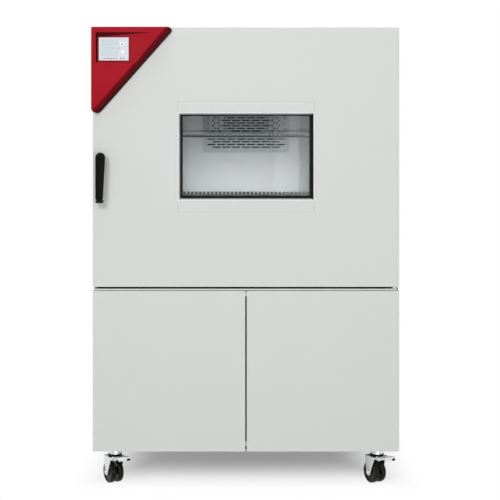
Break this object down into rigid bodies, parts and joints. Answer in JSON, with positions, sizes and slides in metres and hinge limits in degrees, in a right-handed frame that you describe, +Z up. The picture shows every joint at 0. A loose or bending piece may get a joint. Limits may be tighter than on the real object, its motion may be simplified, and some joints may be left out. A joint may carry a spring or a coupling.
{
  "type": "environmental test chamber",
  "caption": "Free-standing climate cabinet with a hinged windowed door, corner controller, wire shelves and a service bay on swivel casters.",
  "frame": {"origin": "on the floor, in the middle of the overall box", "axes": "+X to the right seen from the front, +Y to the rear, +Z up; the door faces -Y"},
  "size_m": [1.117, 0.998, 1.6757],
  "materials": {
    "top_cover": "light grey textured powder coat",
    "front_frame": "light grey textured powder coat",
    "side_panels": "light grey textured powder coat",
    "lower_side_panels": "light grey textured powder coat",
    "rear_panels": "light grey textured powder coat",
    "bottom_pan": "grey primer",
    "base_frame": "grey primer",
    "chamber_deck": "light grey textured powder coat",
    "lower_door_hardware": "satin stainless steel",
    "compressors": "black enamel",
    "heat_exchangers": "plain fins",
    "condenser_fan_mount": "bright zinc plate",
    "electrical_box": "light grey sheet housing",
    "pipework": "copper tube",
    "cable_gland": "black nylon",
    "rear_spacers": "black rubber",
    "inner_chamber": "satin stainless steel",
    "insulation": "foam",
    "air_guide_panel": "satin stainless steel",
    "inlet_grille": "satin stainless steel",
    "fan_motor": "black enamel",
    "heater_coil": "satin stainless steel",
    "wire_shelves": "satin stainless steel",
    "shelf_uprights": "satin stainless steel",
    "access_port": "satin stainless steel",
    "chamber_lamp": "frosted lamp glass",
    "temperature_probe": "satin stainless steel",
    "hinge_arms": "satin stainless steel",
    "latch_keeper": "satin stainless steel",
    "caster_plates": "bright zinc plate",
    "door_skin": "light grey textured powder coat",
    "door_foam": "foam",
    "hinge_bearings": "satin stainless steel",
    "door_liner": "satin stainless steel",
    "door_gasket": "black rubber",
    "window_frame": "satin stainless steel",
    "window_surround": "light grey textured powder coat",
    "window_panes": "clear toughened",
    "window_tunnel": "black nylon",
    "controller_housing": "deep red moulded",
    "touchscreen": "display glass in a pale bezel",
    "handle_base": "black nylon",
    "handle_lever": "black moulded",
    "latch_shaft": "satin stainless steel",
    "lower_door_left": "light grey textured powder coat",
    "lower_door_right": "light grey textured powder coat",
    "circulation_fan": "plain fins",
    "condenser_fan": "black nylon",
    "port_plug": "silicone",
    "main_switch": "black moulded",
    "caster_fork_front_left": "bright zinc plate",
    "caster_wheel_front_left": "black rubber",
    "brake_pedal_front_left": "bright zinc plate",
    "caster_fork_front_right": "bright zinc plate",
    "caster_wheel_front_right": "black rubber",
    "brake_pedal_front_right": "bright zinc plate",
    "caster_fork_rear_left": "bright zinc plate",
    "caster_wheel_rear_left": "black rubber",
    "caster_fork_rear_right": "bright zinc plate",
    "caster_wheel_rear_right": "black rubber"
  },
  "bodies": {
    "base": {"top_cover": "top_cover", "front_frame": "front_frame", "side_panels": "side_panels", "lower_side_panels": "lower_side_panels", "rear_panels": "rear_panels", "bottom_pan": "bottom_pan", "base_frame": "base_frame", "chamber_deck": "chamber_deck", "lower_door_hardware": "lower_door_hardware", "compressors": "compressors", "heat_exchangers": "heat_exchangers", "condenser_fan_mount": "condenser_fan_mount", "electrical_box": "electrical_box", "pipework": "pipework", "cable_gland": "cable_gland", "rear_spacers": "rear_spacers", "inner_chamber": "inner_chamber", "insulation": "insulation", "air_guide_panel": "air_guide_panel", "inlet_grille": "inlet_grille", "fan_motor": "fan_motor", "heater_coil": "heater_coil", "wire_shelves": "wire_shelves", "shelf_uprights": "shelf_uprights", "access_port": "access_port", "chamber_lamp": "chamber_lamp", "temperature_probe": "temperature_probe", "hinge_arms": "hinge_arms", "latch_keeper": "latch_keeper", "caster_plates": "caster_plates"},
    "main_door": {"door_skin": "door_skin", "door_foam": "door_foam", "hinge_bearings": "hinge_bearings", "door_liner": "door_liner", "door_gasket": "door_gasket", "window_frame": "window_frame", "window_surround": "window_surround", "window_panes": "window_panes", "window_tunnel": "window_tunnel", "controller_housing": "controller_housing", "touchscreen": "touchscreen", "handle_base": "handle_base"},
    "handle": {"handle_lever": "handle_lever", "latch_shaft": "latch_shaft"},
    "lower_left_door": {"lower_door_left": "lower_door_left"},
    "lower_right_door": {"lower_door_right": "lower_door_right"},
    "chamber_fan": {"circulation_fan": "circulation_fan"},
    "cooling_fan": {"condenser_fan": "condenser_fan"},
    "plug": {"port_plug": "port_plug"},
    "mains_knob": {"main_switch": "main_switch"},
    "caster_front_left": {"caster_fork_front_left": "caster_fork_front_left"},
    "wheel_front_left": {"caster_wheel_front_left": "caster_wheel_front_left"},
    "pedal_front_left": {"brake_pedal_front_left": "brake_pedal_front_left"},
    "caster_front_right": {"caster_fork_front_right": "caster_fork_front_right"},
    "wheel_front_right": {"caster_wheel_front_right": "caster_wheel_front_right"},
    "pedal_front_right": {"brake_pedal_front_right": "brake_pedal_front_right"},
    "caster_rear_left": {"caster_fork_rear_left": "caster_fork_rear_left"},
    "wheel_rear_left": {"caster_wheel_rear_left": "caster_wheel_rear_left"},
    "caster_rear_right": {"caster_fork_rear_right": "caster_fork_rear_right"},
    "wheel_rear_right": {"caster_wheel_rear_right": "caster_wheel_rear_right"}
  },
  "joints": [
    {"name": "door_hinge", "type": "hinge", "parent": "base", "child": "main_door", "pos_m": [0.54, -0.425, 0.724], "axis": [0, 0, 1], "range_deg": [0, 115]},
    {"name": "handle_turn", "type": "hinge", "parent": "main_door", "child": "handle", "pos_m": [-0.5265, -0.45, 1.2035], "axis": [0, -1, 0], "range_deg": [0, 90]},
    {"name": "lower_left_hinge", "type": "hinge", "parent": "base", "child": "lower_left_door", "pos_m": [-0.545, -0.43, 0.14], "axis": [0, 0, -1], "range_deg": [0, 105]},
    {"name": "lower_right_hinge", "type": "hinge", "parent": "base", "child": "lower_right_door", "pos_m": [0.545, -0.43, 0.14], "axis": [0, 0, 1], "range_deg": [0, 105]},
    {"name": "chamber_fan_spin", "type": "hinge", "parent": "base", "child": "chamber_fan", "pos_m": [0, 0.15, 1.331], "axis": [0, 1, 0], "continuous": true},
    {"name": "cooling_fan_spin", "type": "hinge", "parent": "base", "child": "cooling_fan", "pos_m": [0.3, 0.424, 0.427], "axis": [0, 1, 0], "continuous": true},
    {"name": "plug_pull", "type": "slide", "parent": "base", "child": "plug", "axis": [-1, 0, 0], "range_m": [0, 0.12]},
    {"name": "mains_knob_turn", "type": "hinge", "parent": "base", "child": "mains_knob", "pos_m": [-0.44, 0.475, 0.33], "axis": [0, 1, 0], "range_deg": [0, 90]},
    {"name": "swivel_front_left", "type": "hinge", "parent": "base", "child": "caster_front_left", "pos_m": [-0.483, -0.38, 0.12], "axis": [0, 0, 1], "continuous": true},
    {"name": "roll_front_left", "type": "hinge", "parent": "caster_front_left", "child": "wheel_front_left", "pos_m": [-0.49, -0.36788, 0.04], "axis": [0.866, 0.5, 0], "continuous": true},
    {"name": "brake_front_left", "type": "hinge", "parent": "caster_front_left", "child": "pedal_front_left", "pos_m": [-0.465, -0.41118, 0.098], "axis": [0.866, 0.5, 0], "range_deg": [0, 15]},
    {"name": "swivel_front_right", "type": "hinge", "parent": "base", "child": "caster_front_right", "pos_m": [0.483, -0.38, 0.12], "axis": [0, 0, 1], "continuous": true},
    {"name": "roll_front_right", "type": "hinge", "parent": "caster_front_right", "child": "wheel_front_right", "pos_m": [0.476, -0.36788, 0.04], "axis": [0.866, 0.5, 0], "continuous": true},
    {"name": "brake_front_right", "type": "hinge", "parent": "caster_front_right", "child": "pedal_front_right", "pos_m": [0.501, -0.41118, 0.098], "axis": [0.866, 0.5, 0], "range_deg": [0, 15]},
    {"name": "swivel_rear_left", "type": "hinge", "parent": "base", "child": "caster_rear_left", "pos_m": [-0.483, 0.39, 0.12], "axis": [0, 0, 1], "continuous": true},
    {"name": "roll_rear_left", "type": "hinge", "parent": "caster_rear_left", "child": "wheel_rear_left", "pos_m": [-0.49, 0.40212, 0.04], "axis": [0.866, 0.5, 0], "continuous": true},
    {"name": "swivel_rear_right", "type": "hinge", "parent": "base", "child": "caster_rear_right", "pos_m": [0.483, 0.39, 0.12], "axis": [0, 0, 1], "continuous": true},
    {"name": "roll_rear_right", "type": "hinge", "parent": "caster_rear_right", "child": "wheel_rear_right", "pos_m": [0.476, 0.40212, 0.04], "axis": [0.866, 0.5, 0], "continuous": true}
  ]
}
